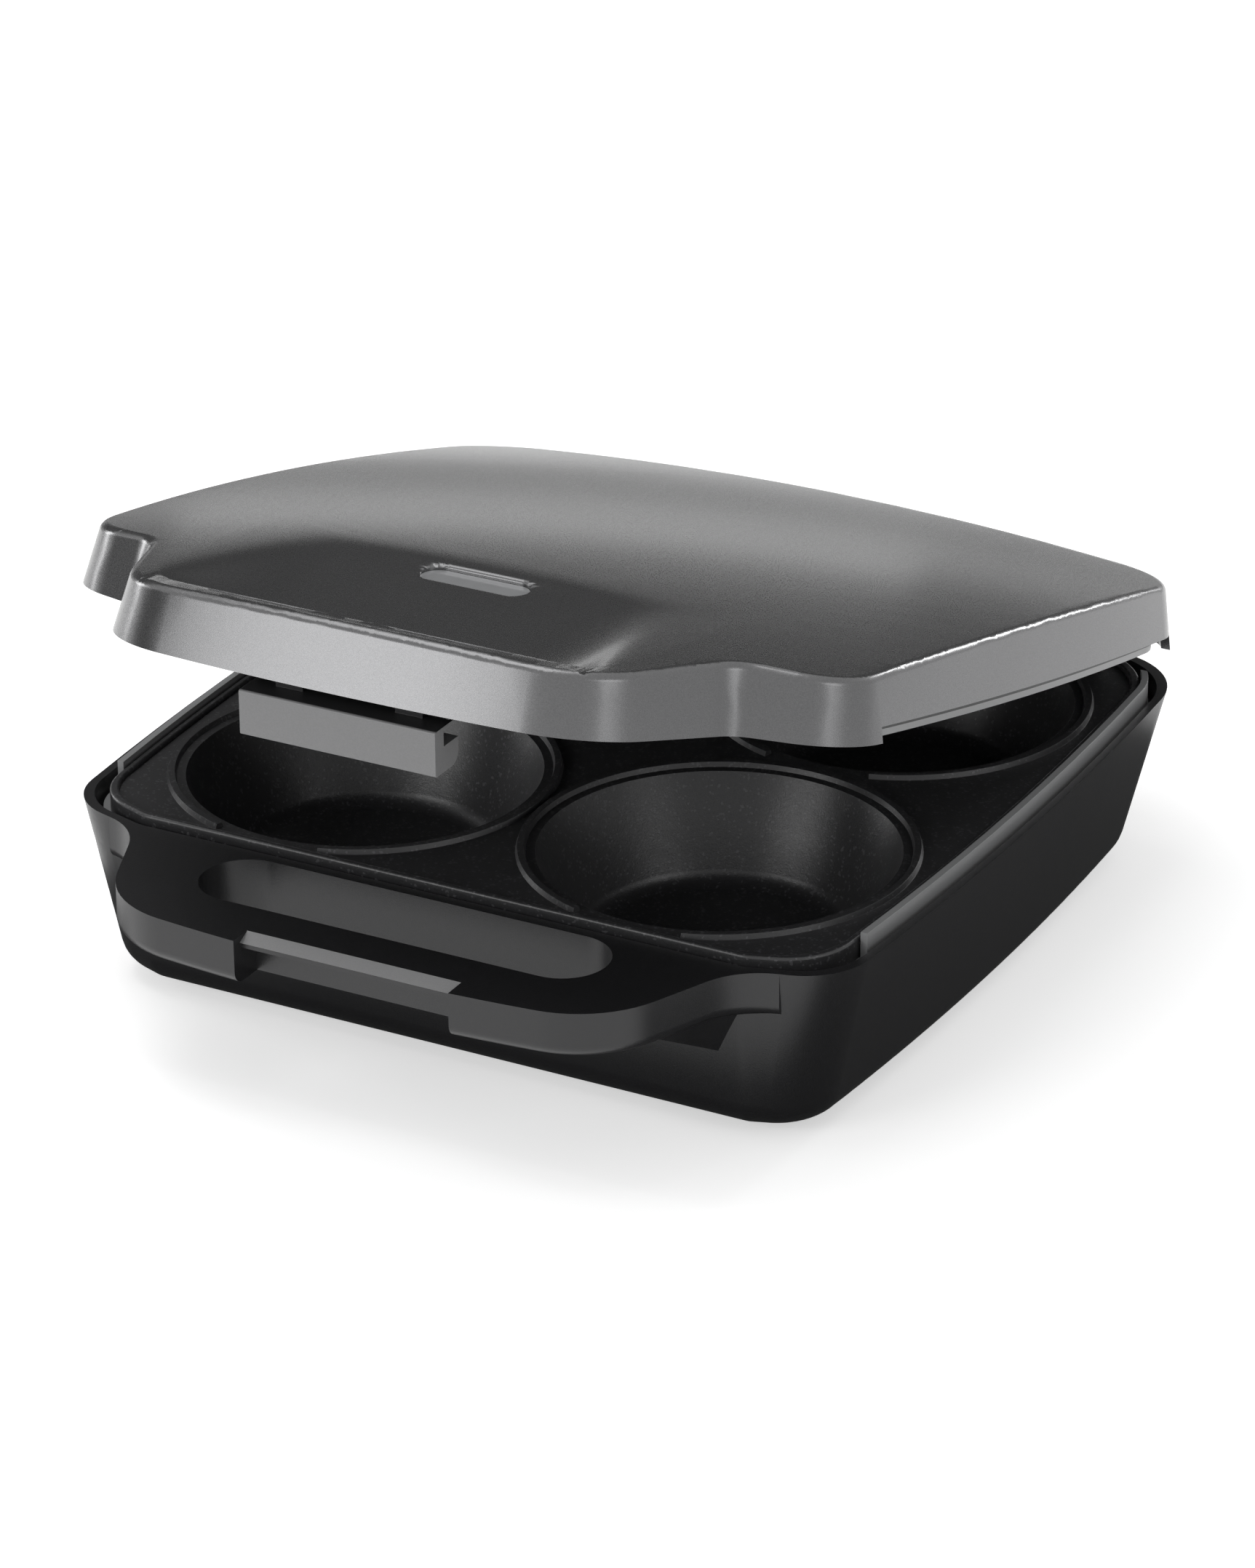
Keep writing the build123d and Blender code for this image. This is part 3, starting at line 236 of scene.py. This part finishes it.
lamp("overhead", 1.0, 1.0, (-0.40, 0.05, 1.55), (0, 0, 0), 8.0)
lamp("key_front", 1.0, 0.7, (-0.80, -1.50, 0.72), (0, 0, 0.08), 8.5)
lamp("fill_right", 0.7, 0.7, (1.6, -0.5, 0.9), (0, 0, 0.06), 3.0)
lamp("rim_left", 0.3, 0.5, (-1.5, 0.05, 0.35), (0, 0, 0.1), 3.0)
lamp("rim_back", 0.22, 0.5, (0.42, 1.7, 0.5), (0, 0, 0.1), 5.0)
lamp("horizon", 0.5, 0.07, (-0.66, 1.25, 0.13), (0, 0, 0.12), 0.13)


# ---------------------------------------------------------------- lower housing
# Injection-moulded black housing with its forward handle, finger slot and catch. It has a fine
# spark-eroded grain and small rounds along its edges. The catch ledge in the notch is grey.
WELD_GAP, SLIVER, ONE_PLANE_DEG = 2e-6, 1e-7, 0.2
ROUND_FROM_DEG, ROUND_STEPS = 38, 2
HOUSING_ROUND, SMALL_ROUND = 0.0006, 0.0004


def welded(node):
    """the solid's triangles as one closed mesh"""
    bm = bmesh.new()
    bm.from_mesh(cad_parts[node].data)
    bmesh.ops.remove_doubles(bm, verts=bm.verts, dist=WELD_GAP)
    bmesh.ops.dissolve_degenerate(bm, dist=SLIVER, edges=bm.edges)
    return bm


def flat_joined(bm):
    """triangles of one plane joined, so that a rounded edge runs along clean faces"""
    bmesh.ops.dissolve_limit(bm, angle_limit=math.radians(ONE_PLANE_DEG), verts=bm.verts, edges=bm.edges,
                             delimit={"MATERIAL"})


def creased(bm, degrees):
    """smooth faces, with a hard line where the surface turns by more than that"""
    for face in bm.faces:
        face.smooth = True
    for edge in bm.edges:
        edge.smooth = len(edge.link_faces) == 2 and edge.calc_face_angle(0.0) < math.radians(degrees)


def skin(bm, name, body, slot, materials, *nodes, edge=0.0):
    """the finished surface of those nodes; edge is the small round along its sharp corners"""
    mesh = bpy.data.meshes.new(name)
    bm.to_mesh(mesh)
    bm.free()
    made = bpy.data.objects.new(name, mesh)
    for material in materials:
        mesh.materials.append(material)
    bpy.context.scene.collection.objects.link(made)
    if edge:
        rounded = made.modifiers.new("edge", "BEVEL")
        rounded.width, rounded.segments = edge, ROUND_STEPS
        rounded.limit_method, rounded.angle_limit = "ANGLE", math.radians(ROUND_FROM_DEG)
        rounded.use_clamp_overlap, rounded.miter_outer = True, "MITER_ARC"
    weighted = made.modifiers.new("weighted", "WEIGHTED_NORMAL")
    weighted.keep_sharp, weighted.weight, weighted.mode = True, 80, "FACE_AREA"
    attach(made, body)
    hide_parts(*nodes)


black = Finish("housing_black", Roughness=0.36, Base_Color=(0.014, 0.014, 0.015, 1.0), Specular_IOR_Level=0.5)
grain = black.noise(2400.0, 3.0, 0.6)
cloud = black.noise(9.0, 2.0)
housing_black = black.feed(Base_Color=black.mix(cloud, (0.009, 0.009, 0.010), (0.014, 0.014, 0.015)),
                           Roughness=grain * 0.14 + cloud * 0.06 + 0.22,
                           Normal=black.bump(grain, 0.22, 0.0002))

ledge = Finish("ledge_grey", Roughness=0.3, Base_Color=(0.16, 0.16, 0.163, 1.0))
grain = ledge.noise(2300.0, 3.0, 0.6)
ledge_grey = ledge.feed(Base_Color=ledge.mix(grain, (0.24, 0.24, 0.243), (0.30, 0.30, 0.303)),
                        Roughness=grain * 0.14 + 0.24, Normal=ledge.bump(grain, 0.16, 0.0002))
bm = welded("base_shell")
LEDGE_HALF, LEDGE_WAY, SAME_WAY = 0.0366, Vector((0, -0.43, 0.9)).normalized(), 0.995
for face in bm.faces:
    on_ledge = abs(face.calc_center_median().x) < LEDGE_HALF and face.normal.dot(LEDGE_WAY) > SAME_WAY
    face.material_index = int(on_ledge)
flat_joined(bm)
creased(bm, 24)
skin(bm, "base_shell_skin", "base", "housing_black", [housing_black, ledge_grey], "base_shell",
     edge=HOUSING_ROUND)

# ---------------------------------------------------------------- inner frame with grey side lips
# A frame moulded in grey plastic that carries the lower plate and is clamped between it and the
# housing's posts. Only its lip shows, along each side.
grey = Finish("frame_grey", Roughness=0.4, Base_Color=(0.23, 0.235, 0.24, 1.0))
grain = grey.noise(2200.0, 3.0, 0.6)
frame_grey = grey.feed(Base_Color=grey.mix(grain, (0.26, 0.263, 0.267), (0.33, 0.333, 0.337)),
                       Roughness=grain * 0.12 + 0.24, Normal=grey.bump(grain, 0.15, 0.0002))
bm = welded("base_frame")
flat_joined(bm)
creased(bm, 28)
skin(bm, "base_frame_skin", "base", "frame_grey", [frame_grey], "base_frame", edge=SMALL_ROUND)

# ---------------------------------------------------------------- lower plate
# Die-cast aluminium under a black non-stick coat with a fine pale speckle. Wells, crimp rings and
# rim are one casting, which the four base screws hold down from below.
coat = Finish("plate_coating", Roughness=0.34, Base_Color=(0.022, 0.022, 0.023, 1.0), Specular_IOR_Level=0.5)
flecks = coat.grey(coat.cells(1500.0))
fine = coat.noise(1800.0, 3.0, 0.6)
lumps = coat.noise(260.0, 2.0)
spark = (flecks.math("GREATER_THAN", 0.93) * 0.5 + fine * 0.25).clipped()
plate_coating = coat.feed(Base_Color=coat.mix(spark, (0.017, 0.017, 0.018), (0.10, 0.10, 0.105)),
                          Roughness=fine * 0.16 + 0.27,
                          Normal=coat.bump(fine, 0.18, 0.0003, coat.bump(lumps, 0.08, 0.0006)))
bm = welded("lower_plate")
flat_joined(bm)
creased(bm, 26)
skin(bm, "lower_plate_skin", "base", "plate_coating", [plate_coating], "lower_plate", edge=SMALL_ROUND)

# ---------------------------------------------------------------- feet and cord bushing
# Moulded black rubber with a dull, slightly chalky skin: four feet on the underside, and the
# bushing that lines the cord inlet in the rear wall.
rubber = Finish("foot_rubber", Roughness=0.75, Base_Color=(0.02, 0.02, 0.02, 1.0))
grain = rubber.noise(1500.0, 3.0)
foot_rubber = rubber.feed(Base_Color=rubber.mix(grain, (0.014, 0.014, 0.014), (0.034, 0.034, 0.034)),
                          Roughness=grain * 0.2 + 0.62, Normal=rubber.bump(grain, 0.3, 0.0003))
for node in ("foot_1", "foot_2", "foot_3", "foot_4", "cord_gland"):
    bm = welded(node)
    creased(bm, 35)
    slot = "gland_rubber" if node == "cord_gland" else "foot_rubber"
    skin(bm, node + "_skin", "base", slot, [foot_rubber], node)

# ---------------------------------------------------------------- heating parts, screws and pins
# Pressed aluminium shields, tubular elements, the two thermal devices and the fasteners keep their
# solids, and get the finish of rolled sheet, drawn steel or moulded block.
steel = Finish("steel", Roughness=0.3, Base_Color=(0.56, 0.56, 0.57, 1.0), Metallic=1.0)
drawn = steel.noise(600.0, 3.0, 0.5, steel.stretched(0.1, 1.0, 1.0))
steel_metal = steel.feed(Base_Color=steel.mix(drawn, (0.46, 0.46, 0.47), (0.64, 0.64, 0.65)),
                         Roughness=drawn * 0.2 + 0.2, Normal=steel.bump(drawn, 0.1, 0.0001))
sheet = Finish("shield_sheet", Roughness=0.4, Base_Color=(0.6, 0.6, 0.61, 1.0), Metallic=1.0)
rolled = sheet.noise(900.0, 4.0, 0.6, sheet.stretched(0.04, 1.0, 1.0))
shield_sheet = sheet.feed(Base_Color=sheet.mix(rolled, (0.52, 0.52, 0.53), (0.68, 0.68, 0.69)),
                          Roughness=rolled * 0.25 + 0.28, Normal=sheet.bump(rolled, 0.12, 0.0001))
tube = Finish("thermal_parts", Roughness=0.5, Base_Color=(0.2, 0.19, 0.18, 1.0), Metallic=1.0)
scale = tube.noise(500.0, 4.0, 0.6)
thermal_parts = tube.feed(Base_Color=tube.mix(scale, (0.13, 0.12, 0.11), (0.30, 0.29, 0.28)),
                          Roughness=scale * 0.3 + 0.35, Normal=tube.bump(scale, 0.15, 0.0002))
ivory = Finish("block_ivory", Roughness=0.5, Base_Color=(0.72, 0.68, 0.56, 1.0))
cloud = ivory.noise(400.0, 3.0)
block_ivory = ivory.feed(Base_Color=ivory.mix(cloud, (0.68, 0.64, 0.52), (0.76, 0.72, 0.61)),
                         Roughness=cloud * 0.2 + 0.4, Normal=ivory.bump(cloud, 0.1, 0.0002))


def finished(material, *nodes):
    """those nodes keep their own solids and get the finish"""
    for node in nodes:
        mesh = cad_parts[node].data
        mesh.materials.clear()
        mesh.materials.append(material)


finished(shield_sheet, "lower_shield", "upper_shield")
finished(thermal_parts, "lower_heater", "upper_heater", "thermostat", "thermal_fuse")
finished(block_ivory, "terminal_block")
finished(steel_metal, "hinge_pin_left", "hinge_pin_right", "latch_pin", "lower_shield_screw",
         "upper_shield_screw")
for kind, count in (("base_screw", 4), ("plate_screw", 4), ("cover_screw", 2)):
    finished(steel_metal, *["%s_%d" % (kind, number) for number in range(1, count + 1)])

# ---------------------------------------------------------------- lid
# Moulded lid cover in a dark pearl lacquer: a fine metallic grain under a clear coat. Its finger
# recess has soft moulded edges, so the top is laid again over the same dome as a fine grid. The
# shape is worked out with the lid shut and the wells centred on y 0, and then opened with the lid.
pearl = Finish("lid_pearl", Metallic=0.8, Roughness=0.32, Base_Color=(0.12, 0.12, 0.122, 1.0),
               Coat_Weight=0.25, Coat_Roughness=0.14)
flakes = pearl.grey(pearl.cells(3600.0))
fine = pearl.noise(2600.0, 2.0)
cloud = pearl.noise(7.0, 2.0)
shine = (flakes * 0.15 + fine * 0.3 + cloud * 0.35).clipped()
lid_pearl = pearl.feed(Base_Color=pearl.mix(shine, (0.08, 0.08, 0.082), (0.21, 0.21, 0.214)),
                       Roughness=fine * 0.10 + 0.22, Normal=pearl.bump(fine, 0.06, 0.0001))

WELLS_BACK = 0.015954       # the wells' centre lies this far behind the object's
HINGE_Y, HINGE_Z, OPEN_DEG = 0.160554, 0.0641, 14.3
hinge = Matrix.Translation((0, HINGE_Y, HINGE_Z))
turned = hinge @ Matrix.Rotation(math.radians(-OPEN_DEG), 4, "X") @ hinge.inverted()
opened = turned @ Matrix.Translation((0, WELLS_BACK, 0))

APEX_Z, APEX_Y, ROUND_ACROSS, ROUND_ALONG = 0.0942, 0.012, 1.231, 2.0
RECESS_HALF, RECESS_REAR, RECESS_FRONT, RECESS_BOW = 0.075, -0.103, -0.1815, 0.007
RECESS_STEP, RECESS_FALL, RECESS_FLAT, RECESS_CURL = 0.0016, 0.19, 0.045, 0.060
CURL_SHARE = 0.9            # the end curl stops before it stands upright
WALL_SLOPE, END_SLOPE = 1.9, 3.0
EDGE_SOFT, ROOT_SOFT = 0.0011, 0.0026
BOW_START, BOW_FULL, BOW_HOLD, BOW_END = -0.194, -0.1835, -0.172, -0.142
ON_SURFACE = 0.00004


def dome_z(x, y):
    """height of the lid's double-curved top"""
    across = math.sqrt(ROUND_ACROSS ** 2 - x * x)
    return APEX_Z - ROUND_ALONG + math.sqrt((ROUND_ALONG - ROUND_ACROSS + across) ** 2 - (y - APEX_Y) ** 2)


def recess_floor(x, y):
    """floor that falls to the front and curls up at both ends"""
    level = dome_z(0, RECESS_REAR) - RECESS_STEP + RECESS_FALL * (y - RECESS_REAR)
    out = min(max(abs(x) - RECESS_FLAT, 0.0), RECESS_CURL * CURL_SHARE)
    return level + RECESS_CURL - math.sqrt(RECESS_CURL ** 2 - out ** 2)


def blend_max(a, b, soft):
    """the larger of two heights, with a soft turn where they cross"""
    return (a + b + math.sqrt((a - b) ** 2 + 4 * soft * soft)) / 2


def top_z(x, y):
    """the lid's top with its recess, softly rounded at its edges and along its walls' foot"""
    dome = dome_z(x, y)
    front = RECESS_FRONT + RECESS_BOW * (x / RECESS_HALF) ** 2
    ends = dome - END_SLOPE * (RECESS_HALF - abs(x))
    walls = max(dome - WALL_SLOPE * (y - front), dome - (RECESS_REAR - y), ends)
    return -blend_max(-dome, -blend_max(recess_floor(x, y), walls, ROOT_SOFT), EDGE_SOFT)


bm = welded("lid_cover")
bm.transform(opened.inverted())
top = bm.faces.layers.int.new("top")


def on_top(vert):
    """true on the dome and on the recess's floor and walls"""
    x, y, z = vert.co
    if abs(z - dome_z(x, y)) < ON_SURFACE:
        return True
    inside = RECESS_FRONT - ON_SURFACE < y < RECESS_REAR + ON_SURFACE and abs(x) < RECESS_HALF + ON_SURFACE
    return inside and z > recess_floor(x, y) - ON_SURFACE


bmesh.ops.delete(bm, geom=[f for f in bm.faces if all(on_top(v) for v in f.verts)], context="FACES")
rims = [e for e in bm.edges if len(e.link_faces) == 1]
for face in bm.faces:
    face[top] = -1
bmesh.ops.triangle_fill(bm, use_beauty=True, edges=rims, normal=(0, 0, 1))
for face in bm.faces:
    face[top] += 1


def steps(low, high, fine_low, fine_high, fine, coarse):
    """cutting places from low to high: fine steps over the recess and coarse ones elsewhere"""
    at, places = low, []
    while at < high:
        at += fine if fine_low < at < fine_high else coarse
        places.append(at)
    return places


across_cuts = steps(-0.14, 0.14, fine_low=-0.088, fine_high=0.080, fine=0.0018, coarse=0.008)
along_cuts = steps(-0.20, 0.16, fine_low=-0.197, fine_high=-0.094, fine=0.0012, coarse=0.009)
cuts = [((x, 0, 0), (1, 0, 0)) for x in across_cuts] + [((0, y, 0), (0, 1, 0)) for y in along_cuts]
CUT_SNAP = 1e-6
for point, way in cuts:
    faces = [f for f in bm.faces if f[top]]
    edges = {e for f in faces for e in f.edges}
    verts = {v for e in edges for v in e.verts}
    bmesh.ops.bisect_plane(bm, geom=faces + list(edges) + list(verts), dist=CUT_SNAP, plane_co=point,
                           plane_no=way)
for vert in {v for f in bm.faces if f[top] for v in f.verts}:
    if all(f[top] for f in vert.link_faces):
        x, y, _ = vert.co
        follow = min((y - BOW_START) / (BOW_FULL - BOW_START), 1.0, (BOW_END - y) / (BOW_END - BOW_HOLD))
        vert.co.y = y + max(follow, 0.0) * RECESS_BOW * min(abs(x) / RECESS_HALF, 1.0) ** 2
        vert.co.z = top_z(x, vert.co.y)
creased(bm, 26)
for edge in bm.edges:
    if all(f[top] for f in edge.link_faces):
        edge.smooth = True
bmesh.ops.recalc_face_normals(bm, faces=bm.faces)
bm.transform(opened)
skin(bm, "lid_cover_skin", "lid", "lid_pearl", [lid_pearl], "lid_cover")

# ---------------------------------------------------------------- lid frame
# Black inner frame of the lid. Its side lips are grey, like the lower ones, up to a thin strip along
# their top, painted black as shade in the gap under the lid's skirt. Its front carries the latch.
inner = Finish("frame_black", Roughness=0.42, Base_Color=(0.016, 0.016, 0.017, 1.0))
grain = inner.noise(2200.0, 3.0, 0.6)
frame_black = inner.feed(Base_Color=inner.mix(grain, (0.013, 0.013, 0.014), (0.024, 0.024, 0.025)),
                         Roughness=grain * 0.15 + 0.34, Normal=inner.bump(grain, 0.2, 0.0002))
bm = welded("lid_frame")
bm.transform(opened.inverted())
# the grey of the side lips ends at this height; the lip's strip above it is painted black, the shade in the
# gap under the skirt
LIP_X, LIP_SHADE_LINE = 0.1225, 0.0662
bmesh.ops.bisect_plane(bm, geom=bm.faces[:] + bm.edges[:] + bm.verts[:], dist=CUT_SNAP,
                       plane_co=(0, 0, LIP_SHADE_LINE), plane_no=(0, 0, 1))
for face in bm.faces:
    across, _, height = face.calc_center_median()
    face.material_index = int(abs(across) > LIP_X and height < LIP_SHADE_LINE)
bm.transform(opened)
creased(bm, 28)
skin(bm, "lid_frame_skin", "lid", "frame_black", [frame_black, frame_grey], "lid_frame")

# ---------------------------------------------------------------- upper plate
# The lid's aluminium casting with four shallow domes, coated like the lower one. Four screws hold
# it on the lid frame.
bm = welded("upper_plate")
creased(bm, 26)
skin(bm, "upper_plate_skin", "lid", "plate_coating", [plate_coating], "upper_plate")

# ---------------------------------------------------------------- indicator lens and lamps
# A lens moulded in smoked plastic, sunk in the lid's pill-shaped window, with two small glass lamps
# in a white holder behind it.
smoke = Finish("lens_smoke", Roughness=0.16, Base_Color=(0.16, 0.165, 0.17, 1.0), Coat_Weight=0.6,
               Coat_Roughness=0.06)
cloud = smoke.noise(120.0, 2.0)
lens_smoke = smoke.feed(Base_Color=smoke.mix(cloud, (0.25, 0.254, 0.26), (0.31, 0.315, 0.32)),
                        Roughness=cloud * 0.1 + 0.12, Normal=smoke.bump(cloud, 0.05, 0.0004))
bm = welded("indicator_lens")
creased(bm, 30)
skin(bm, "indicator_lens_skin", "lid", "lens_smoke", [lens_smoke], "indicator_lens")

socket_look = Finish("lamp_socket", Roughness=0.5, Base_Color=(0.6, 0.6, 0.58, 1.0))
cloud = socket_look.noise(500.0, 3.0)
lamp_socket = socket_look.feed(Base_Color=socket_look.mix(cloud, (0.55, 0.55, 0.53), (0.66, 0.66, 0.64)),
                               Roughness=cloud * 0.2 + 0.4)
glass = Finish("lamp_glass", Roughness=0.08, Base_Color=(0.8, 0.3, 0.12, 1.0), Coat_Weight=1.0)
cloud = glass.noise(700.0, 2.0)
lamp_glass = glass.feed(Base_Color=glass.mix(cloud, (0.72, 0.24, 0.09), (0.86, 0.38, 0.17)),
                        Roughness=cloud * 0.1 + 0.05)
finished(lamp_socket, "lamp_holder")
finished(lamp_glass, "lamp_left", "lamp_right")

# ---------------------------------------------------------------- latch
# A bar moulded in grey plastic with its hook below, hanging on a steel pin under the lid's front.
# Its knuckles and its top are black: partly their own colour, partly painted shade of the dark gap under the
# lid's skirt.
latch_look = Finish("latch_grey", Roughness=0.38, Base_Color=(0.2, 0.2, 0.203, 1.0))
grain = latch_look.noise(2300.0, 3.0, 0.6)
latch_grey = latch_look.feed(Base_Color=latch_look.mix(grain, (0.18, 0.18, 0.183), (0.24, 0.24, 0.243)),
                             Roughness=grain * 0.14 + 0.3, Normal=latch_look.bump(grain, 0.16, 0.0002))
bm = welded("latch")
BAR_TOP = 0.14067
# faces above the bar's top take the black, which is partly painted shade of the gap under the lid's skirt
for face in bm.faces:
    face.material_index = int(all(v.co.z > BAR_TOP for v in face.verts))
flat_joined(bm)
creased(bm, 28)
skin(bm, "latch_skin", "latch", "latch_grey", [latch_grey, frame_black], "latch", edge=SMALL_ROUND)
